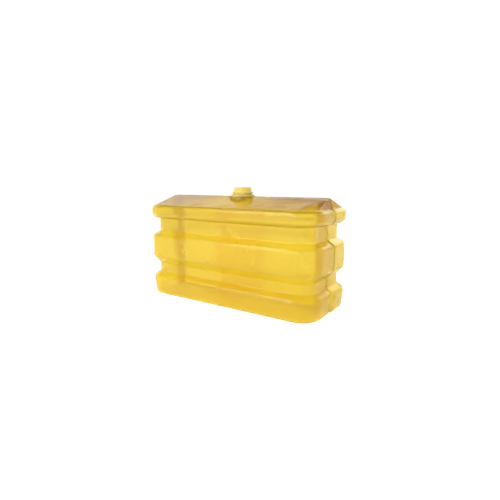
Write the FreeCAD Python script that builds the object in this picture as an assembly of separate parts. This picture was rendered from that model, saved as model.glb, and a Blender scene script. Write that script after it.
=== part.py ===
import FreeCAD, Part
import math
import os

# A fillable block marker: two moulded half shells joined on a lengthwise seam,
# a centre baffle, and a screw-in filler neck with its stopper.
# Millimetres, +Z up, origin on the ground under the middle of the block,
# +X along the block, seam plane at Y = 0.

V = FreeCAD.Vector

# Block, outside
length = 360.0
depth = 154.0
corner_radius = 38.0
eave_height = 173.6
ridge_height = 190.0
eave_inset = 6.5
ridge_run_in = 11.0
ridge_half_width = 5.0
ridge_corner = 4.0

# Bands and strap grooves, heights from the ground
foot_inset = 3.5
foot_round = 7.0
foot_top = 27.0
lower_shoulder = 36.0
lower_groove_bottom = 43.5
lower_groove_top = 60.0
lower_groove_depth = 12.0
middle_bottom = 74.0
middle_shoulder = 115.0
upper_groove_bottom = 123.0
upper_groove_top = 148.5
upper_groove_depth = 14.0
brow_height = 167.5
crown_height = 172.0
crown_inset = 3.0
shoulder_round = 9.0
band_round = 5.0
brow_round = 10.0
crown_round = 7.0
root_round = 2.5

# Walls and the seam between the half shells
wall = 3.0
web_thickness = 3.0
web_rim = 9.0
end_web = 30.0
window_corner = 15.0
channel_lip = 4.0
foot_lip = 10.0
foot_lip_top = 38.0
channel_root = 2.4
channel_over_ledge = 5.0

# Baffle at mid-length and the ribs that hold its edge
baffle_thickness = 3.0
rib_thickness = 2.4
rib_height = 5.0
flow_hole_radius = 9.0
flow_hole_rows = (56.0, 95.0, 134.0)
flow_hole_side = 34.0
drain_gap_radius = 10.0
hose_gap_depth = 42.0

# Filler neck: a bulkhead fitting through the boss, from its bore outwards
shank_radius = 10.4
thread_height = 2.2
thread_base = 2.5
thread_crest = 0.9
thread_gap = 0.3
thread_bite = 0.4
thread_start_angle = 37.0
stopper_pitch = 4.0
bore_gap = 1.0
neck_wall = 1.3
tail_length = 15.5
tail_thread_height = 1.1
tail_thread_base = 2.0
tail_thread_crest = 0.6
tail_pitch = 3.0
tail_gap = 0.3
seal_gap = 0.6
seal_width = 3.6
seal_height = 1.2
flange_rim = 1.8
flange_height = 3.0
barrel_wall = 3.0
barrel_height = 2.0
lip_step = 2.0
lip_height = 3.2
edge_chamfer = 0.8
nut_wall = 2.0
nut_height = 7.0

# Filler boss on the ridge, hollow below for the lock nut
boss_rise = 0.6
boss_floor = 5.0
nut_swing_gap = 1.0

# Stopper and its washer
washer_gap = 0.7
washer_width = 3.0
washer_height = 1.3
head_step = 0.6
head_height = 6.6
head_rim = 3.7
head_recess_depth = 4.0
grip_bar_width = 5.0
grip_flutes = 20
grip_flute_radius = 1.1
shank_length = 13.4
shank_wall = 2.4

half_length = length / 2
half_depth = depth / 2
centre_x = half_length - corner_radius
centre_y = half_depth - corner_radius
far = 2 * length

bore_radius = shank_radius + bore_gap
tail_radius = shank_radius + thread_height + thread_gap + neck_wall
tail_crest_radius = tail_radius + tail_thread_height
tail_hole_radius = tail_crest_radius + tail_gap
seal_inner = tail_hole_radius + seal_gap
seal_outer = seal_inner + seal_width
flange_radius = seal_outer + flange_rim
barrel_radius = tail_radius + barrel_wall
lip_radius = barrel_radius + lip_step
nut_radius = (tail_crest_radius + nut_wall) / math.cos(math.pi / 6)
boss_inner = nut_radius + nut_swing_gap
boss_radius = boss_inner + wall
washer_inner = shank_radius + thread_height + washer_gap
washer_outer = washer_inner + washer_width
head_radius = washer_outer - head_step
head_recess_radius = head_radius - head_rim

boss_top = ridge_height + boss_rise
boss_underside = boss_top - boss_floor
flange_top = boss_top + flange_height
barrel_top = flange_top + barrel_height
rim_height = barrel_top + lip_height
head_bottom = rim_height + washer_height
head_top = head_bottom + head_height
tail_bottom = boss_top - tail_length


def box(x_low, y_low, z_low, x_high, y_high, z_high):
    return Part.makeBox(x_high - x_low, y_high - y_low, z_high - z_low, V(x_low, y_low, z_low))


def cylinder(radius, z_low, z_high, x=0.0, y=0.0):
    return Part.makeCylinder(radius, z_high - z_low, V(x, y, z_low))


def tube(inner, outer, z_low, z_high):
    return cylinder(outer, z_low, z_high).cut(cylinder(inner, z_low, z_high))


def rounded_edges(corners):
    """Edges through corners (x, z, round), each corner cut by a tangent arc."""
    edges = []
    last = V(corners[0][0], 0, corners[0][1])
    for before, here, after in zip(corners, corners[1:], corners[2:]):
        corner = V(here[0], 0, here[1])
        back = (V(before[0], 0, before[1]) - corner).normalize()
        on = (V(after[0], 0, after[1]) - corner).normalize()
        half_angle = back.getAngle(on) / 2
        trim = here[2] / math.tan(half_angle)
        start = corner + back * trim
        end = corner + on * trim
        bisector = (back + on).normalize()
        middle = corner + bisector * (here[2] / math.sin(half_angle) - here[2])
        edges.append(Part.makeLine(last, start))
        edges.append(Part.Arc(start, middle, end).toShape())
        last = end
    edges.append(Part.makeLine(last, V(corners[-1][0], 0, corners[-1][1])))
    return edges


def outside_corners():
    """The block's side profile as (inset, height, round), ground to eave."""
    return [
        (corner_radius, 0.0, 0.0),
        (foot_inset, 0.0, foot_round),
        (0.0, foot_top, 12.0),
        (0.0, lower_shoulder, shoulder_round),
        (lower_groove_depth, lower_groove_bottom, root_round),
        (lower_groove_depth, lower_groove_top, root_round),
        (0.0, middle_bottom, band_round),
        (0.0, middle_shoulder, shoulder_round),
        (upper_groove_depth, upper_groove_bottom, root_round),
        (upper_groove_depth, upper_groove_top - 0.5, root_round),
        (0.0, upper_groove_top, brow_round),
        (0.0, brow_height, crown_round),
        (crown_inset, crown_height, band_round),
        (eave_inset, eave_height, 0.0),
    ]


def inside_corners(skin):
    """The same profile moved inwards by a skin, measured square to each face."""
    corners = outside_corners()
    moved = [(corner_radius, skin, 0.0)]
    for before, here, after in zip(corners, corners[1:], corners[2:]):
        first = V(here[0] - before[0], 0, here[1] - before[1]).normalize()
        second = V(after[0] - here[0], 0, after[1] - here[1]).normalize()
        first_normal = V(first.z, 0, -first.x)
        second_normal = V(second.z, 0, -second.x)
        bisector = (first_normal + second_normal).normalize()
        reach = skin / bisector.dot(first_normal)
        turn = first.x * second.z - first.z * second.x
        bulges_out = turn < 0
        round_here = max(here[2] - skin, 0.6) if bulges_out else here[2] + skin
        moved.append((here[0] + bisector.x * reach, here[1] + bisector.z * reach, round_here))
    moved.append((eave_inset + skin, eave_height - 0.8 * skin, 0.0))
    return moved


def swept_block(corners):
    """Carry a side profile round the block's rounded rectangle."""
    top = corners[-1][1]
    bottom = corners[0][1]
    placed = [(corner_radius - inset, height, round_here) for inset, height, round_here in corners]
    edges = rounded_edges(placed)
    edges.append(Part.makeLine(V(placed[-1][0], 0, top), V(0, 0, top)))
    edges.append(Part.makeLine(V(0, 0, top), V(0, 0, bottom)))
    profile = Part.Face(Part.Wire(Part.__sortEdges__(edges)))
    pieces = [box(-centre_x, -centre_y, bottom, centre_x, centre_y, top)]
    for quarter, (sign_x, sign_y) in enumerate(((1, 1), (-1, 1), (-1, -1), (1, -1))):
        corner = profile.revolve(V(0, 0, 0), V(0, 0, 1), 90)
        corner.rotate(V(0, 0, 0), V(0, 0, 1), 90 * quarter)
        corner.translate(V(sign_x * centre_x, sign_y * centre_y, 0))
        pieces.append(corner)
    for turn, offset, run in ((0, centre_x, centre_y), (90, centre_y, centre_x)):
        for half_turn in (0, 180):
            side = profile.extrude(V(0, 2 * run, 0))
            side.translate(V(offset, -run, 0))
            side.rotate(V(0, 0, 0), V(0, 0, 1), turn + half_turn)
            pieces.append(side)
    return pieces[0].multiFuse(pieces[1:]).removeSplitter()


def rounded_rectangle(half_x, half_y, radius, height):
    diagonal = radius * (1 - math.sqrt(0.5))
    edges = []
    for quarter in range(4):
        reach_x, reach_y = (half_x, half_y) if quarter % 2 == 0 else (half_y, half_x)
        start = V(reach_x, reach_y - radius, height)
        middle = V(reach_x - diagonal, reach_y - diagonal, height)
        end = V(reach_x - radius, reach_y, height)
        next_start = V(-reach_x + radius, reach_y, height)
        turn = FreeCAD.Rotation(V(0, 0, 1), 90 * quarter)
        corners = [turn.multVec(point) for point in (start, middle, end, next_start)]
        edges.append(Part.Arc(corners[0], corners[1], corners[2]).toShape())
        edges.append(Part.makeLine(corners[2], corners[3]))
    return Part.Wire(edges)


def hip_roof(skin):
    """Low hip roof from the eave to the narrow ridge, moved inwards by a skin."""
    rise = ridge_height - eave_height
    long_slope = math.atan2(rise, half_depth - eave_inset - ridge_half_width)
    end_slope = math.atan2(rise, ridge_run_in - eave_inset)
    eave_drop = 0.8 * skin
    ridge_drop = skin / math.cos(long_slope)
    eave = rounded_rectangle(
        half_length - eave_inset - skin,
        half_depth - eave_inset - skin,
        corner_radius - eave_inset - skin,
        eave_height - eave_drop,
    )
    ridge = rounded_rectangle(
        half_length - ridge_run_in + ridge_drop / math.tan(end_slope) - skin / math.sin(end_slope),
        ridge_half_width,
        ridge_corner,
        ridge_height - ridge_drop,
    )
    return Part.makeLoft([eave, ridge], True, True)


def block(skin):
    corners = inside_corners(skin) if skin else outside_corners()
    return swept_block(corners).fuse(hip_roof(skin)).removeSplitter()


def channel_prism(face, lip, root, z_low, z_high):
    """Upright seam channel in one end: two round lips and a flat root."""
    mouth = root / 2 + lip
    bend = lip * math.sqrt(0.5)
    inner = face - lip
    edges = [
        Part.makeLine(V(far, -mouth, z_low), V(far, mouth, z_low)),
        Part.makeLine(V(far, mouth, z_low), V(face, mouth, z_low)),
        Part.Arc(
            V(face, mouth, z_low), V(inner + bend, mouth - bend, z_low), V(inner, root / 2, z_low)
        ).toShape(),
        Part.makeLine(V(inner, root / 2, z_low), V(inner, -root / 2, z_low)),
        Part.Arc(
            V(inner, -root / 2, z_low), V(inner + bend, bend - mouth, z_low), V(face, -mouth, z_low)
        ).toShape(),
        Part.makeLine(V(face, -mouth, z_low), V(far, -mouth, z_low)),
    ]
    return Part.Face(Part.Wire(edges)).extrude(V(0, 0, z_high - z_low))


def seam_channels(skin):
    """Both ends' channels; a skin gives the wall that lines them inside."""
    reach = channel_over_ledge + skin
    levels = (
        (channel_lip, 0.0, -far, far),
        (foot_lip, 0.0, -far, foot_lip_top + skin),
        (channel_lip, lower_groove_depth, lower_groove_bottom - reach, lower_groove_top + reach),
        (channel_lip, upper_groove_depth, upper_groove_bottom - reach, upper_groove_top + reach),
    )
    prisms = []
    for lip, groove, z_low, z_high in levels:
        face = half_length - groove - skin
        prism = channel_prism(face, lip - skin, channel_root + 2 * skin, z_low, z_high)
        prisms.append(prism)
        prisms.append(prism.mirror(V(0, 0, 0), V(1, 0, 0)))
    return prisms


def seam_window():
    """Opening through the seam webs that joins the two halves' insides."""
    half_x = half_length - end_web
    height = (ridge_height - 2 * web_rim) / 2
    window = Part.Face(rounded_rectangle(half_x, height, window_corner, 0)).extrude(
        V(0, 0, 2 * web_thickness)
    )
    window.translate(V(0, 0, -web_thickness))
    window.rotate(V(0, 0, 0), V(1, 0, 0), 90)
    window.translate(V(0, 0, ridge_height / 2))
    return window


def inside():
    """The whole space inside both shells, without ribs or baffle."""
    space = block(wall).cut(box(-far, -web_thickness, -far, far, web_thickness, far))
    space = space.cut(seam_channels(wall))
    space = space.fuse([seam_window(), cylinder(boss_inner, eave_height, boss_underside)])
    return space.removeSplitter()


def baffle_slab(half_thickness):
    return box(-half_thickness, -far, -far, half_thickness, far, far)


def rib_frame(space):
    """Pairs of ribs round the inside that hold the baffle's edge."""
    outer_face = baffle_thickness / 2 + rib_thickness
    core = block(wall + rib_height)
    ribs = space.common(baffle_slab(outer_face)).cut(baffle_slab(baffle_thickness / 2))
    ribs = ribs.cut(core)
    return ribs.cut(cylinder(boss_radius + wall, eave_height, far))


def shells(space):
    solid = block(0.0).fuse(cylinder(boss_radius, eave_height, boss_top))
    hollow = solid.cut(seam_channels(0.0)).cut(space)
    hollow = hollow.fuse(rib_frame(space)).cut(cylinder(tail_hole_radius, eave_height, far))
    front = hollow.common(box(-far, -far, -far, far, 0, far)).removeSplitter()
    rear = hollow.common(box(-far, 0, -far, far, far, far)).removeSplitter()
    return front, rear


def baffle(space):
    plate = space.common(baffle_slab(baffle_thickness / 2))
    cuts = []
    for side in (-1, 1):
        for height in flow_hole_rows:
            hole = cylinder(flow_hole_radius, -far, far, height, side * flow_hole_side)
            cuts.append(hole)
        cuts.append(cylinder(drain_gap_radius, -far, far, wall, side * flow_hole_side))
    hose_floor = ridge_height - hose_gap_depth
    cuts.append(cylinder(boss_radius, -far, far, hose_floor, 0))
    for hole in cuts:
        hole.rotate(V(0, 0, 0), V(0, 1, 0), -90)
        hole.rotate(V(0, 0, 0), V(0, 0, 1), 180)
    cuts.append(box(-far, -boss_radius, hose_floor, far, boss_radius, far))
    return plate.cut(cuts)


def thread_ridge(root, height, base, crest, pitch, z_start, turns):
    """Right-hand helical ridge on a cylinder of the root radius.

    Every thread starts at the same angle, away from the round faces' seam lines.
    """
    inner = root - thread_bite
    helix = Part.makeHelix(pitch, pitch * turns, root)
    slope = (base - crest) / 2 / height
    half_base = base / 2 + thread_bite * slope
    corners = [
        V(inner, 0, -half_base),
        V(root + height, 0, -crest / 2),
        V(root + height, 0, crest / 2),
        V(inner, 0, half_base),
        V(inner, 0, -half_base),
    ]
    profile = Part.makePolygon(corners)
    ridge = Part.Wire(helix.Edges).makePipeShell([profile], True, True)
    ridge.translate(V(0, 0, z_start))
    ridge.rotate(V(0, 0, 0), V(0, 0, 1), thread_start_angle)
    return ridge


def filler_neck():
    tail = cylinder(tail_radius, tail_bottom, boss_top)
    tail_ridge = thread_ridge(
        tail_radius,
        tail_thread_height,
        tail_thread_base,
        tail_thread_crest,
        tail_pitch,
        tail_bottom + tail_pitch / 2,
        math.floor((boss_underside - tail_bottom - tail_pitch) / tail_pitch),
    )
    flange = cylinder(flange_radius, boss_top, flange_top)
    flange = flange.makeChamfer(edge_chamfer, [flange.Edges[0]])
    barrel = cylinder(barrel_radius, flange_top, barrel_top)
    lip = cylinder(lip_radius, barrel_top, rim_height)
    lip = lip.makeChamfer(edge_chamfer, [lip.Edges[0], lip.Edges[2]])
    outline = tail.fuse([flange, barrel, lip])
    outline = outline.cut(tube(seal_inner, seal_outer, boss_top, boss_top + seal_height))
    blank_over = 3 * stopper_pitch
    blank = tube(bore_radius, flange_radius + 1, tail_bottom - blank_over, rim_height + blank_over)
    threaded = blank.cut(stopper_thread(thread_gap, 2))
    return threaded.common(outline).fuse(tail_ridge)


def neck_seal():
    return tube(seal_inner, seal_outer, boss_top, boss_top + seal_height)


def neck_lock_nut():
    nut_bottom = boss_underside - nut_height
    corners = []
    for side in range(7):
        angle = side * math.pi / 3
        corners.append(V(nut_radius * math.cos(angle), nut_radius * math.sin(angle), nut_bottom))
    hexagon = Part.Face(Part.makePolygon(corners)).extrude(V(0, 0, nut_height))
    return hexagon.cut(cylinder(tail_crest_radius, nut_bottom, boss_underside))


def stopper_thread(gap, extra_turns):
    """The stopper's ridge, or with a gap and extra turns the space it runs in."""
    turns = math.floor((shank_length - stopper_pitch) / stopper_pitch) + 2 * extra_turns
    z_start = rim_height - shank_length + stopper_pitch / 2 - extra_turns * stopper_pitch
    return thread_ridge(
        shank_radius,
        thread_height + gap,
        thread_base + 2 * gap,
        thread_crest + 2 * gap,
        stopper_pitch,
        z_start,
        turns,
    )


def stopper():
    head = cylinder(head_radius, head_bottom, head_top)
    head = head.makeChamfer(edge_chamfer, [head.Edges[0]])
    recess = cylinder(head_recess_radius, head_top - head_recess_depth, head_top)
    bar = box(
        -head_recess_radius, -grip_bar_width / 2, head_top - head_recess_depth,
        head_recess_radius, grip_bar_width / 2, head_top,
    )
    head = head.cut(recess.cut(bar))
    flutes = []
    for flute in range(grip_flutes):
        angle = 2 * math.pi * flute / grip_flutes
        x = (head_radius + grip_flute_radius / 3) * math.cos(angle)
        y = (head_radius + grip_flute_radius / 3) * math.sin(angle)
        flutes.append(cylinder(grip_flute_radius, head_bottom + edge_chamfer, far, x, y))
    head = head.cut(flutes)
    shank = cylinder(shank_radius, rim_height - shank_length, head_bottom)
    shank = shank.fuse(stopper_thread(0.0, 0))
    shank = shank.cut(cylinder(shank_radius - shank_wall, rim_height - shank_length, head_bottom))
    return shank.fuse(head)


def stopper_washer():
    return tube(washer_inner, washer_outer, rim_height, head_bottom)


def main():
    os.makedirs("parts", exist_ok=True)
    space = inside()
    front, rear = shells(space)
    nodes = {
        "front_shell": front,
        "rear_shell": rear,
        "centre_baffle": baffle(space),
        "filler_neck": filler_neck(),
        "neck_seal": neck_seal(),
        "neck_lock_nut": neck_lock_nut(),
        "stopper_washer": stopper_washer(),
        "stopper": stopper(),
    }
    for name, shape in nodes.items():
        print(name, len(shape.Solids), shape.isValid(), round(shape.Volume / 1000, 1), shape.BoundBox)
        shape.exportStep(f"parts/{name}.step")


main()
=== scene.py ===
import math
import bmesh
import bpy
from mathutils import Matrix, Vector


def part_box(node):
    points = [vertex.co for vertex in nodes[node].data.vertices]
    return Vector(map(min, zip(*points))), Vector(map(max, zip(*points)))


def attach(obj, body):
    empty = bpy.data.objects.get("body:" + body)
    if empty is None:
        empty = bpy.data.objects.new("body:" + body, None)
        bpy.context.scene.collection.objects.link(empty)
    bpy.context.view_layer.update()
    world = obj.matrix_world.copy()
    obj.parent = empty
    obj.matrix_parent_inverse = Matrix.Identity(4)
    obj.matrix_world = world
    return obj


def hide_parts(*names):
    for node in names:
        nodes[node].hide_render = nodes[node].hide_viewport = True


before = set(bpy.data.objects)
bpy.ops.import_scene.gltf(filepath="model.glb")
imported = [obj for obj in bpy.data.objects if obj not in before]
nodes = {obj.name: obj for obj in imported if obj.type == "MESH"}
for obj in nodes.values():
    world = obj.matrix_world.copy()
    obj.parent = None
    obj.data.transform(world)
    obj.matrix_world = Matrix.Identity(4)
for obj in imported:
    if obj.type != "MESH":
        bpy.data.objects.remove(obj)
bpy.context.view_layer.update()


def linkMesh(name, mesh):
    piece = bpy.data.objects.new(name, mesh)
    bpy.context.scene.collection.objects.link(piece)
    return piece


def baked(piece, name):
    # turns the live modifiers into a plain mesh
    depsgraph = bpy.context.evaluated_depsgraph_get()
    mesh = bpy.data.meshes.new_from_object(piece.evaluated_get(depsgraph))
    mesh.name = name
    piece.modifiers.clear()
    old = piece.data
    piece.data = mesh
    bpy.data.meshes.remove(old)


def softNormals(piece, sharpAngle, weight):
    # smooth shading that keeps the flats flat and the corners crisp
    for polygon in piece.data.polygons:
        polygon.use_smooth = True
    piece.data.set_sharp_from_angle(angle=math.radians(sharpAngle))
    weighted = piece.modifiers.new("faceWeighted", "WEIGHTED_NORMAL")
    weighted.keep_sharp = True
    weighted.weight = weight
    baked(piece, piece.name)


def cutOrJoin(piece, tool, operation):
    # uses the tool up
    boolean = piece.modifiers.new("boolean", "BOOLEAN")
    boolean.object = tool
    boolean.operation = operation
    boolean.solver = "MANIFOLD"
    baked(piece, piece.name)
    bpy.data.objects.remove(tool)


def drum(name, radius, low, high, side):
    # half a cylinder on the seam plane, on one side of it
    shape = bmesh.new()
    gap = side * shellShape["seamGap"]
    steps = shellShape["bossSteps"]
    rim = []
    for step in range(steps + 1):
        angle = math.pi * step / steps
        rim.append((radius * math.cos(angle), side * radius * math.sin(angle) + gap))
    lower = [shape.verts.new((x, y, low)) for x, y in rim]
    upper = [shape.verts.new((x, y, high)) for x, y in rim]
    shape.faces.new(lower)
    shape.faces.new(upper)
    for here in range(len(rim)):
        after = (here + 1) % len(rim)
        shape.faces.new((lower[here], lower[after], upper[after], upper[here]))
    bmesh.ops.recalc_face_normals(shape, faces=shape.faces)
    mesh = bpy.data.meshes.new(name)
    shape.to_mesh(mesh)
    shape.free()
    return linkMesh(name, mesh)


# half shells, metres
shellShape = {
    "cornerRadius": 0.038,    # upright corners, seen from above
    "wall": 0.003,
    "seamGap": 0.00005,       # from each half shell to the seam plane
    "channelLip": 0.004,      # round lips either side of the end seam
    "footLip": 0.010,         # the same on the bottom band
    "footLipTop": 0.040,
    "footLipEase": 0.008,     # height over which the wide lips turn narrow
    "channelRoot": 0.0012,    # half the flat between them
    "webHalf": 0.003,         # the web along the seam, from the seam plane
    "webRim": 0.009,          # and its width under the ridge and over the ground
    "endWeb": 0.030,          # and at the ends
    "eaveHeight": 0.1736,
    "eaveInset": 0.0065,
    "innerEaveDrop": 0.8,     # how far the wall lowers its inner eave, in walls
    "ridgeHeight": 0.190,
    "ridgeRunIn": 0.011,
    "ridgeHalfWidth": 0.005,
    "ridgeCorner": 0.002,
    "ridgeLip": 0.0008,
    "ridgeRoot": 0.0004,
    "bossRadius": 0.02398,
    "bossInner": 0.02098,
    "bossTop": 0.1906,
    "bossUnderside": 0.1856,
    "bossFoot": 0.004,        # above the eave, inside the roof's wall
    "bossSteps": 48,
    "neckHole": 0.0156,
    "cutterLow": 0.150,       # both cutters start here, inside the chamber
    "cutterHigh": 0.200,      # and the hole's cutter ends above the boss
    "leastRound": 0.0006,     # left on the inner wall where a corner bulges
    "mergeDistance": 1e-6,
    "sharpAngle": 38,         # degrees
    "normalWeight": 80,
    # inset, height and round of each corner, from the ground up to the eave
    "profile": (
        (0.015, 0.0, 0.0),
        (0.0035, 0.0, 0.007),
        (0.0, 0.027, 0.012),
        (0.0, 0.036, 0.009),
        (0.012, 0.0435, 0.0025),
        (0.012, 0.060, 0.0025),
        (0.0, 0.074, 0.005),
        (0.0, 0.115, 0.009),
        (0.014, 0.123, 0.0025),
        (0.014, 0.148, 0.0025),
        (0.0, 0.1485, 0.010),
        (0.0, 0.1675, 0.007),
        (0.003, 0.172, 0.005),
        (0.0065, 0.1736, 0.0),
    ),
    "arcSteps": 5,            # faces round each corner of the profile
    "cornerSteps": 18,
    "lipSteps": 7,
    "roofRows": 6,
}


def insetProfile(corners, skin):
    # the same profile, one wall further in
    moved = [(corners[0][0] + skin, corners[0][1] + skin, 0.0)]
    for before, here, after in zip(corners, corners[1:], corners[2:]):
        first = Vector((here[0] - before[0], here[1] - before[1])).normalized()
        second = Vector((after[0] - here[0], after[1] - here[1])).normalized()
        normalA = Vector((first.y, -first.x))
        normalB = Vector((second.y, -second.x))
        middle = (normalA + normalB).normalized()
        reach = skin / middle.dot(normalA)
        bulges = first.x * second.y - first.y * second.x < 0
        rounding = max(here[2] - skin, shellShape["leastRound"]) if bulges else here[2] + skin
        moved.append((here[0] + middle.x * reach, here[1] + middle.y * reach, rounding))
    eaveDrop = shellShape["innerEaveDrop"] * skin
    moved.append((corners[-1][0] + skin, corners[-1][1] - eaveDrop, 0.0))
    return moved


def roundedProfile(corners, steps):
    # an arc in place of each corner, as points of inset and height
    points = [Vector(corners[0][:2])]
    for before, here, after in zip(corners, corners[1:], corners[2:]):
        corner = Vector(here[:2])
        back = (Vector(before[:2]) - corner).normalized()
        on = (Vector(after[:2]) - corner).normalized()
        half = back.angle(on) / 2
        centre = corner + (back + on).normalized() * here[2] / math.sin(half)
        start = corner + back * here[2] / math.tan(half) - centre
        end = corner + on * here[2] / math.tan(half) - centre
        sweep = math.atan2(start.x * end.y - start.y * end.x, start.dot(end))
        for step in range(steps + 1):
            turn = sweep * step / steps
            points.append(centre + Vector((
                start.x * math.cos(turn) - start.y * math.sin(turn),
                start.x * math.sin(turn) + start.y * math.cos(turn),
            )))
    points.append(Vector(corners[-1][:2]))
    return points


def halfRing(halfX, halfY, corner, lip, root, height, side):
    # one level of a half shell, from the right-hand seam round to the left
    quarter = []
    lipSteps = shellShape["lipSteps"]
    for step in range(lipSteps + 1):
        angle = -math.pi / 2 + math.pi / 2 * step / lipSteps
        quarter.append((
            halfX - lip + lip * math.cos(angle),
            root + lip + lip * math.sin(angle),
        ))
    cornerSteps = shellShape["cornerSteps"]
    for step in range(cornerSteps + 1):
        angle = math.pi / 2 * step / cornerSteps
        quarter.append((
            halfX - corner + corner * math.cos(angle),
            halfY - corner + corner * math.sin(angle),
        ))
    ring = quarter + [(-x, y) for x, y in reversed(quarter)]
    return [(x, side * y, height) for x, y in ring]


def lipAt(height):
    # the bottom band's channel is wide and eases into the narrow one above it
    shape = shellShape
    share = min(max((shape["footLipTop"] - height) / shape["footLipEase"], 0.0), 1.0)
    eased = share * share * (3 - 2 * share)
    return shape["channelLip"] + (shape["footLip"] - shape["channelLip"]) * eased


def shellLevels(skin, side, halfX, halfY):
    # rings from the ground to the ridge, for the outside or one wall further in
    shape = shellShape
    corners = insetProfile(shape["profile"], skin) if skin else shape["profile"]
    root = shape["channelRoot"] + skin
    levels = []
    for inset, height in roundedProfile(corners, shape["arcSteps"]):
        corner = shape["cornerRadius"] - inset
        lip = lipAt(height) - skin
        levels.append(halfRing(halfX - inset, halfY - inset, corner, lip, root, height, side))
    eave = (
        halfX - shape["eaveInset"] - skin,
        halfY - shape["eaveInset"] - skin,
        shape["cornerRadius"] - shape["eaveInset"] - skin,
        shape["channelLip"] - skin,
        root,
        shape["eaveHeight"] - shape["innerEaveDrop"] * skin,
    )
    rise = shape["ridgeHeight"] - shape["eaveHeight"]
    longSlope = math.atan2(rise, halfY - shape["eaveInset"] - shape["ridgeHalfWidth"])
    endSlope = math.atan2(rise, shape["ridgeRunIn"] - shape["eaveInset"])
    drop = skin / math.cos(longSlope)
    ridge = (
        halfX - shape["ridgeRunIn"] + drop / math.tan(endSlope) - skin / math.sin(endSlope),
        shape["ridgeHalfWidth"],
        shape["ridgeCorner"],
        shape["ridgeLip"],
        min(root, shape["webHalf"]) if skin else shape["ridgeRoot"],
        shape["ridgeHeight"] - drop,
    )
    for row in range(1, shape["roofRows"] + 1):
        share = row / shape["roofRows"]
        size = [low + (high - low) * share for low, high in zip(eave, ridge)]
        levels.append(halfRing(*size, side))
    return levels


def makeShell(name, node, side):
    low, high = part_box(node)
    halfX = (high[0] - low[0]) / 2
    halfY = high[1] - low[1]
    shape = shellShape
    gap = side * shape["seamGap"]
    windowX = halfX - shape["endWeb"]
    windowLow = shape["webRim"]
    windowHigh = shape["ridgeHeight"] - shape["webRim"]
    outer = shellLevels(0.0, side, halfX, halfY)
    inner = shellLevels(shape["wall"], side, halfX, halfY)
    solid = bmesh.new()

    def row(points):
        return [solid.verts.new(point) for point in points]

    def toSeam(ring):
        # the ring with its two ends carried on to the seam plane
        height = ring[0][2]
        return [(ring[0][0], gap, height)] + ring + [(ring[-1][0], gap, height)]

    def windowEdge(ring, y):
        # the two sides of the opening in the web, at this ring's height
        height = min(max(ring[0][2], windowLow), windowHigh)
        return [(x, y, height) for x in (windowX, -windowX)]

    outerRows = [row(toSeam(ring)) for ring in outer]
    innerRows = [row(ring) for ring in inner]
    seamWindow = [row(windowEdge(ring, gap)) for ring in outer]
    webWindow = [row(windowEdge(ring, side * shape["webHalf"])) for ring in inner]

    def strip(first, second):
        for here in range(len(first) - 1):
            solid.faces.new((first[here], first[here + 1], second[here + 1], second[here]))

    for rows in (outerRows, innerRows):
        for below, above in zip(rows, rows[1:]):
            strip(below, above)
        solid.faces.new(rows[0])
        solid.faces.new(rows[-1])
    for end in (0, 1):
        outerEdge = [line[-end] for line in outerRows]
        innerEdge = [line[-end] for line in innerRows]
        seamEdge = [line[end] for line in seamWindow]
        webEdge = [line[end] for line in webWindow]
        strip(outerEdge, seamEdge)
        strip(seamEdge, webEdge)
        strip(webEdge, innerEdge)
    for level in (0, -1):
        strip([outerRows[level][0], outerRows[level][-1]], seamWindow[level])
        strip(seamWindow[level], webWindow[level])
        strip(webWindow[level], [innerRows[level][0], innerRows[level][-1]])
    bmesh.ops.remove_doubles(solid, verts=solid.verts, dist=shape["mergeDistance"])
    bmesh.ops.recalc_face_normals(solid, faces=solid.faces)
    mesh = bpy.data.meshes.new(name)
    solid.to_mesh(mesh)
    solid.free()
    piece = linkMesh(name, mesh)
    bossLow = shape["eaveHeight"] + shape["bossFoot"]
    cutterLow = shape["cutterLow"]
    for tool, radius, low, high, operation in (
        ("boss", shape["bossRadius"], bossLow, shape["bossTop"], "UNION"),
        ("bossHollow", shape["bossInner"], cutterLow, shape["bossUnderside"], "DIFFERENCE"),
        ("neckHole", shape["neckHole"], cutterLow, shape["cutterHigh"], "DIFFERENCE"),
    ):
        cutOrJoin(piece, drum(tool, radius, low, high, side), operation)
    softNormals(piece, shape["sharpAngle"], shape["normalWeight"])
    piece.data.materials.clear()
    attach(piece, "block")
    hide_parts(node)
    return piece


print("stage: half shells")
frontShell = makeShell("frontShell", "front_shell", -1)
rearShell = makeShell("rearShell", "rear_shell", 1)


class Wire:
    # a socket or a number that takes part in sums
    def __init__(self, tree, value):
        self.tree = tree
        self.value = value

    def join(self, operation, first, second):
        return self.tree.maths(operation, first, second)

    def __add__(self, other):
        return self.join("ADD", self, other)

    def __radd__(self, other):
        return self.join("ADD", other, self)

    def __sub__(self, other):
        return self.join("SUBTRACT", self, other)

    def __rsub__(self, other):
        return self.join("SUBTRACT", other, self)

    def __mul__(self, other):
        return self.join("MULTIPLY", self, other)

    def __rmul__(self, other):
        return self.join("MULTIPLY", other, self)


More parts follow.
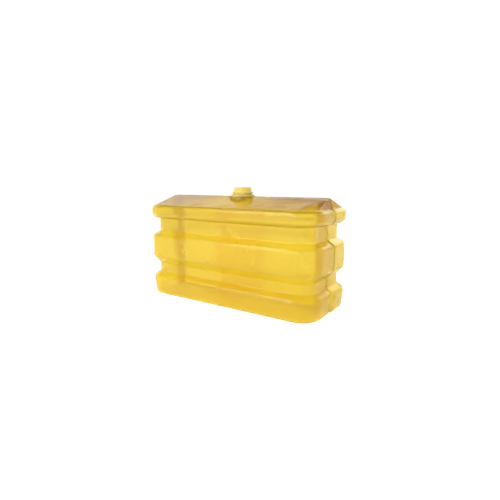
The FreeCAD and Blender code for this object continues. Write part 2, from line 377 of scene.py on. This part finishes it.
class ShaderTree:
    def __init__(self, name):
        self.material = bpy.data.materials.new(name)
        self.material.use_nodes = True
        self.nodes = self.material.node_tree.nodes
        self.links = self.material.node_tree.links
        self.nodes.clear()

    def add(self, kind, settings=None, inputs=None, output=0):
        node = self.nodes.new(kind)
        for key, value in (settings or {}).items():
            setattr(node, key, value)
        for key, value in (inputs or {}).items():
            if isinstance(value, Wire):
                self.links.new(value.value, node.inputs[key])
            else:
                node.inputs[key].default_value = value
        return Wire(self, node.outputs[output]) if len(node.outputs) else node

    def maths(self, operation, first, second):
        return self.add("ShaderNodeMath", {"operation": operation}, {0: first, 1: second})

    def mixColour(self, factor, first, second, blend="MIX"):
        settings = {"data_type": "RGBA", "blend_type": blend}
        return self.add("ShaderNodeMix", settings, {0: factor, 6: first, 7: second}, 2)

    def noise(self, place, scale, detail, roughness=0.5):
        return self.add("ShaderNodeTexNoise", {}, {
            "Vector": place, "Scale": scale, "Detail": detail, "Roughness": roughness,
        })

    def ease(self, value, start, end):
        # 0 at start and 1 at end, smoothly
        return self.add("ShaderNodeMapRange", {"interpolation_type": "SMOOTHSTEP"}, {
            "Value": value, "From Min": start, "From Max": end,
        })

    def bump(self, height, strength, distance, under=None):
        inputs = {"Height": height, "Strength": strength, "Distance": distance}
        if under:
            inputs["Normal"] = under
        return self.add("ShaderNodeBump", {}, inputs)


white = (1.0, 1.0, 1.0, 1.0)

plasticLook = {
    "clearColour": (1.0, 0.90, 0.32, 1.0),
    "cloudyColour": (1.0, 0.86, 0.22, 1.0),
    "paintedRoofShade": (0.72, 0.55, 0.08, 1.0),     # painted shade: the roof is painted deeper and darker than the sides
    "glowColour": (1.0, 0.88, 0.17, 1.0),
    "roofFrom": 0.170,
    "roofFade": 0.006,         # height over which the painted roof shade comes in
    "neckGlowFrom": 0.028,     # painted highlight: the painted roof shade leaves off round the neck, so the roof stays light there
    "neckHighlightTo": 0.100,
    "milkiness": 0.26,
    "roofMilk": -0.16,         # added to the milkiness in the roof, under its painted shade
    "footMilk": 0.06,          # and in the bottom band
    "footFrom": 0.060,
    "footTo": 0.020,
    "cloudMilk": 0.10,         # and in the clouds, half up and half down
    "cloudSize": 14.0,         # sizes are noise scales, so more is finer
    "cloudDetail": 3.0,
    "grainSize": 420.0,
    "grainDetail": 4.0,
    "grainRoughness": 0.6,
    "grainStrength": 0.08,
    "grainDepth": 0.0002,
    "waviness": 0.35,
    "waveSize": 22.0,
    "waveDetail": 2.0,
    "waveRoughness": 0.4,
    "waveDepth": 0.004,
    "clearness": 0.95,
    "roughness": 0.12,
    "roughnessSpread": 0.10,
    "ior": 1.38,
    "coat": 0.05,
    "coatRoughness": 0.08,
    "absorption": (1.0, 0.90, 0.30, 1.0),
    "absorptionDensity": 40.0,
}

# the fitting is milkier and gets none of the painted roof shade
neckLook = {
    **plasticLook,
    "milkiness": 0.4,
    "clearness": 0.25,
    "roofFrom": 1.0,
    "footMilk": 0.0,
    "waviness": 0.1,
}

baffleLook = {
    "through": (1.0, 0.93, 0.60, 1.0),
    "lightColour": (0.98, 0.82, 0.22, 1.0),
    "darkColour": (0.95, 0.76, 0.16, 1.0),
    "cloudSize": 18.0,
    "cloudDetail": 3.0,
    "roughness": 0.30,
    "cover": 0.10,             # how much of the face hides what is behind it
    "coverSpread": 0.06,
}

sealLook = {
    "darkColour": (0.82, 0.60, 0.14, 1.0),
    "lightColour": (0.90, 0.69, 0.20, 1.0),
    "grainSize": 900.0,
    "grainDetail": 3.0,
    "grainStrength": 0.15,
    "grainDepth": 0.0002,
    "roughness": 0.45,
    "roughnessSpread": 0.2,
}


def translucentPlastic(name, look):
    tree = ShaderTree(name)
    place = tree.add("ShaderNodeTexCoord", output=3)
    along, across, height = (
        tree.add("ShaderNodeSeparateXYZ", {}, {"Vector": place}, axis) for axis in range(3)
    )
    cloud = tree.noise(place, look["cloudSize"], look["cloudDetail"])
    fine = tree.noise(place, look["grainSize"], look["grainDetail"], look["grainRoughness"])
    wave = tree.noise(place, look["waveSize"], look["waveDetail"], look["waveRoughness"])
    aboveEave = tree.ease(height, look["roofFrom"], look["roofFrom"] + look["roofFade"])
    # painted highlight: the roof close to the neck gets none of the painted shade
    neckDistance = tree.maths("SQRT", along * along + across * across, 0.0)
    fromNeck = tree.ease(neckDistance, look["neckGlowFrom"], look["neckHighlightTo"])
    roofShadeMask = aboveEave * fromNeck
    inFoot = tree.ease(height, look["footFrom"], look["footTo"])
    # painted shade: the roof above the eave is tinted darker amber, except round the neck
    roofShadeColour = tree.mixColour(roofShadeMask, white, look["paintedRoofShade"])
    body = tree.mixColour(cloud, look["clearColour"], look["cloudyColour"])
    colour = tree.mixColour(1.0, body, roofShadeColour, "MULTIPLY")
    roughness = look["roughness"] + look["roughnessSpread"] * (cloud * fine)
    wavy = tree.bump(wave, look["waviness"], look["waveDepth"])
    surface = tree.bump(fine, look["grainStrength"], look["grainDepth"], wavy)
    clear = tree.add("ShaderNodeBsdfPrincipled", {}, {
        "Base Color": colour,
        "Roughness": roughness,
        "IOR": look["ior"],
        "Transmission Weight": look["clearness"],
        "Coat Weight": look["coat"],
        "Coat Roughness": look["coatRoughness"],
        "Normal": surface,
    })
    glow = tree.add("ShaderNodeBsdfTranslucent", {}, {
        "Color": look["glowColour"], "Normal": surface,
    })
    milk = look["milkiness"] + look["roofMilk"] * roofShadeMask + look["footMilk"] * inFoot
    milk = milk + look["cloudMilk"] * (cloud - 0.5)
    mixed = tree.add("ShaderNodeMixShader", {}, {0: milk, 1: clear, 2: glow})
    depth = tree.add("ShaderNodeVolumeAbsorption", {}, {
        "Color": look["absorption"],
        "Density": look["absorptionDensity"],
    })
    tree.add("ShaderNodeOutputMaterial", {}, {"Surface": mixed, "Volume": depth})
    return tree.material


def thinPlastic(name, look):
    # the baffle is seen only through the shells, as a faint darker pane
    tree = ShaderTree(name)
    place = tree.add("ShaderNodeTexCoord", output=3)
    cloud = tree.noise(place, look["cloudSize"], look["cloudDetail"])
    through = tree.add("ShaderNodeBsdfTransparent", {}, {"Color": look["through"]})
    colour = tree.mixColour(cloud, look["lightColour"], look["darkColour"])
    face = tree.add("ShaderNodeBsdfPrincipled", {}, {
        "Base Color": colour, "Roughness": look["roughness"],
    })
    cover = look["cover"] + look["coverSpread"] * cloud
    pane = tree.add("ShaderNodeMixShader", {}, {0: cover, 1: through, 2: face})
    tree.add("ShaderNodeOutputMaterial", {}, {"Surface": pane})
    return tree.material


def rubberSeal(name, look):
    tree = ShaderTree(name)
    place = tree.add("ShaderNodeTexCoord", output=3)
    grain = tree.noise(place, look["grainSize"], look["grainDetail"])
    rubber = tree.add("ShaderNodeBsdfPrincipled", {}, {
        "Base Color": tree.mixColour(grain, look["darkColour"], look["lightColour"]),
        "Roughness": look["roughness"] + look["roughnessSpread"] * grain,
        "Normal": tree.bump(grain, look["grainStrength"], look["grainDepth"]),
    })
    tree.add("ShaderNodeOutputMaterial", {}, {"Surface": rubber})
    return tree.material


def giveMaterial(piece, material):
    piece.data.materials.clear()
    piece.data.materials.append(material)


print("stage: materials")
shellPlastic = translucentPlastic("shellPlastic", plasticLook)
neckPlastic = translucentPlastic("neckPlastic", neckLook)
bafflePlastic = thinPlastic("bafflePlastic", baffleLook)
amberSeal = rubberSeal("amberSeal", sealLook)
for piece in (frontShell, rearShell):
    giveMaterial(piece, shellPlastic)
for node, material in {
    "centre_baffle": bafflePlastic,
    "filler_neck": neckPlastic,
    "neck_lock_nut": neckPlastic,
    "stopper": neckPlastic,
    "neck_seal": amberSeal,
    "stopper_washer": amberSeal,
}.items():
    giveMaterial(nodes[node], material)


# the weld, a bead up each end seam and along the ridge to the boss
weldBead = {
    "radius": 0.0008,
    "sides": 8,
    "step": 0.003,
    "unevenness": 0.0003,
    "unevenScale": 120.0,
    "seed": 4.0,
    "startHeight": 0.006,      # above the ground
    "clearOfBoss": 0.0012,
}


def sweptPathTree():
    # a round bead along every edge chain of the mesh it is given
    tree = bpy.data.node_groups.new("sweptBead", "GeometryNodeTree")
    tree.interface.new_socket("Geometry", in_out="INPUT", socket_type="NodeSocketGeometry")
    for label in ("Bead Radius", "Step", "Unevenness", "Uneven Scale", "Seed"):
        tree.interface.new_socket(label, in_out="INPUT", socket_type="NodeSocketFloat")
    tree.interface.new_socket("Sides", in_out="INPUT", socket_type="NodeSocketInt")
    tree.interface.new_socket("Material", in_out="INPUT", socket_type="NodeSocketMaterial")
    tree.interface.new_socket("Geometry", in_out="OUTPUT", socket_type="NodeSocketGeometry")

    def add(kind, **settings):
        node = tree.nodes.new(kind)
        for key, value in settings.items():
            setattr(node, key, value)
        return node

    def join(source, output, target, entry):
        tree.links.new(source.outputs[output], target.inputs[entry])

    given = add("NodeGroupInput")
    chain = add("GeometryNodeMeshToCurve")
    even = add("GeometryNodeResampleCurve", mode="LENGTH")
    ring = add("GeometryNodeCurvePrimitiveCircle")
    sweep = add("GeometryNodeCurveToMesh")
    place = add("GeometryNodeInputPosition")
    noise = add("ShaderNodeTexNoise", noise_dimensions="4D")
    centred = add("ShaderNodeVectorMath", operation="SUBTRACT")
    centred.inputs[1].default_value = (0.5, 0.5, 0.5)
    scaled = add("ShaderNodeVectorMath", operation="SCALE")
    wavered = add("GeometryNodeSetPosition")
    smooth = add("GeometryNodeSetShadeSmooth")
    real = add("GeometryNodeRealizeInstances")
    painted = add("GeometryNodeSetMaterial")
    result = add("NodeGroupOutput")
    sweep.inputs["Fill Caps"].default_value = True
    join(given, "Geometry", chain, "Mesh")
    join(chain, "Curve", even, "Curve")
    join(given, "Step", even, "Length")
    join(given, "Bead Radius", ring, "Radius")
    join(given, "Sides", ring, "Resolution")
    join(even, "Curve", sweep, "Curve")
    join(ring, "Curve", sweep, "Profile Curve")
    join(sweep, "Mesh", wavered, "Geometry")
    join(place, "Position", noise, "Vector")
    join(given, "Uneven Scale", noise, "Scale")
    join(given, "Seed", noise, "W")
    join(noise, "Color", centred, 0)
    join(centred, "Vector", scaled, 0)
    join(given, "Unevenness", scaled, "Scale")
    join(scaled, "Vector", wavered, "Offset")
    join(wavered, "Geometry", smooth, "Geometry")
    join(smooth, "Geometry", real, "Geometry")
    join(real, "Geometry", painted, "Geometry")
    join(given, "Material", painted, "Material")
    join(painted, "Geometry", result, "Geometry")
    return tree


def grown(piece, tree, values):
    # runs a geometry tree on a piece and keeps the plain mesh
    modifier = piece.modifiers.new(tree.name, "NODES")
    modifier.node_group = tree
    for socket in tree.interface.items_tree:
        if socket.in_out == "INPUT" and socket.name in values:
            modifier[socket.identifier] = values[socket.name]
    baked(piece, piece.name)


def makeWeldBead(material):
    low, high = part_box("front_shell")
    halfX = (high[0] - low[0]) / 2
    shape = shellShape
    line = [(halfX - inset - lipAt(height), height)
            for inset, height in roundedProfile(shape["profile"], shape["arcSteps"])
            if height > weldBead["startHeight"]]
    line.append((halfX - shape["ridgeRunIn"], shape["ridgeHeight"]))
    line.append((shape["bossRadius"] + weldBead["clearOfBoss"], shape["ridgeHeight"]))
    vertices = [(x, 0.0, z) for x, z in line] + [(-x, 0.0, z) for x, z in line]
    count = len(line)
    edges = [(here, here + 1) for here in range(2 * count - 1) if here != count - 1]
    mesh = bpy.data.meshes.new("weldBead")
    mesh.from_pydata(vertices, edges, [])
    piece = linkMesh("weldBead", mesh)
    grown(piece, sweptPathTree(), {
        "Bead Radius": weldBead["radius"],
        "Step": weldBead["step"],
        "Unevenness": weldBead["unevenness"],
        "Uneven Scale": weldBead["unevenScale"],
        "Seed": weldBead["seed"],
        "Sides": weldBead["sides"],
        "Material": material,
    })
    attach(piece, "block")


print("stage: weld bead")
makeWeldBead(shellPlastic)


studio = {
    "floorHalf": 40.0,
    "floorDrop": 0.0004,       # keeps the floor clear of the underside
    "floorColour": (0.72, 0.72, 0.72, 1.0),
    "floorRoughness": 0.9,
    "floorGlow": 0.67,         # a lit table, so the underside isn't black
    "worldColour": white,
    "horizonStrength": 1.06,
    "ceilingStrength": 0.28,
    "ceilingFrom": 0.40,       # upward part of the direction where it starts to darken
    "ceilingTo": 0.56,
}

# place, target, size and power in watts
middle = (0, 0, 0.1)
lamps = {
    "key": ((-0.9, -1.3, 1.4), middle, (1.0, 1.0), 14),
    "fill": ((1.5, -0.8, 0.9), middle, (1.2, 1.2), 4),
    "low": ((-0.2, -1.5, 0.3), (0, 0, 0.05), (1.6, 0.4), 9),
    "back": ((0.3, 1.5, 1.0), middle, (1.6, 1.0), 8),
}

cameraSetting = {
    "place": (0.4124, -0.5788, 0.214),
    "azimuth": 34.4,           # degrees
    "lookDown": 9.83,
    "lens": 27.75,
    "sensorWidth": 36.0,
    "clipStart": 0.02,
}


def makeFloor():
    half = studio["floorHalf"]
    mesh = bpy.data.meshes.new("floor")
    corners = [(-half, -half, 0), (half, -half, 0), (half, half, 0), (-half, half, 0)]
    mesh.from_pydata(corners, [], [(0, 1, 2, 3)])
    floor = linkMesh("floor", mesh)
    floor.location.z = -studio["floorDrop"]
    tree = ShaderTree("paleFloor")
    matte = tree.add("ShaderNodeBsdfPrincipled", {}, {
        "Base Color": studio["floorColour"],
        "Roughness": studio["floorRoughness"],
        "Emission Color": white,
        "Emission Strength": studio["floorGlow"],
    })
    tree.add("ShaderNodeOutputMaterial", {}, {"Surface": matte})
    giveMaterial(floor, tree.material)


def makeWorld():
    # white round the sides, and a darker ceiling for the roof to reflect
    world = bpy.data.worlds.new("studio")
    bpy.context.scene.world = world
    world.use_nodes = True
    worldNodes = world.node_tree.nodes
    links = world.node_tree.links
    background = worldNodes["Background"]
    direction = worldNodes.new("ShaderNodeTexCoord")
    parts = worldNodes.new("ShaderNodeSeparateXYZ")
    ceiling = worldNodes.new("ShaderNodeMapRange")
    ceiling.interpolation_type = "SMOOTHSTEP"
    ceiling.inputs["From Min"].default_value = studio["ceilingFrom"]
    ceiling.inputs["From Max"].default_value = studio["ceilingTo"]
    ceiling.inputs["To Min"].default_value = studio["horizonStrength"]
    ceiling.inputs["To Max"].default_value = studio["ceilingStrength"]
    links.new(direction.outputs["Generated"], parts.inputs["Vector"])
    links.new(parts.outputs["Z"], ceiling.inputs["Value"])
    links.new(ceiling.outputs["Result"], background.inputs["Strength"])
    background.inputs["Color"].default_value = studio["worldColour"]


def areaLight(name, place, target, size, power):
    data = bpy.data.lights.new(name, "AREA")
    data.shape = "RECTANGLE"
    data.size, data.size_y = size
    data.energy = power
    lamp = bpy.data.objects.new(name, data)
    bpy.context.scene.collection.objects.link(lamp)
    lamp.location = place
    lamp.rotation_euler = (Vector(target) - Vector(place)).to_track_quat("-Z", "Y").to_euler()


def makeCamera():
    data = bpy.data.cameras.new("camera")
    data.sensor_width = cameraSetting["sensorWidth"]
    data.lens = cameraSetting["lens"]
    data.clip_start = cameraSetting["clipStart"]
    camera = bpy.data.objects.new("camera", data)
    bpy.context.scene.collection.objects.link(camera)
    tilt = math.radians(90 - cameraSetting["lookDown"])
    azimuth = math.radians(cameraSetting["azimuth"])
    camera.location = cameraSetting["place"]
    camera.rotation_euler = (tilt, 0.0, azimuth)
    bpy.context.scene.camera = camera


print("stage: studio")
makeFloor()
makeWorld()
for lampName, setting in lamps.items():
    areaLight(lampName, *setting)
makeCamera()
bpy.context.scene.view_settings.view_transform = "Standard"
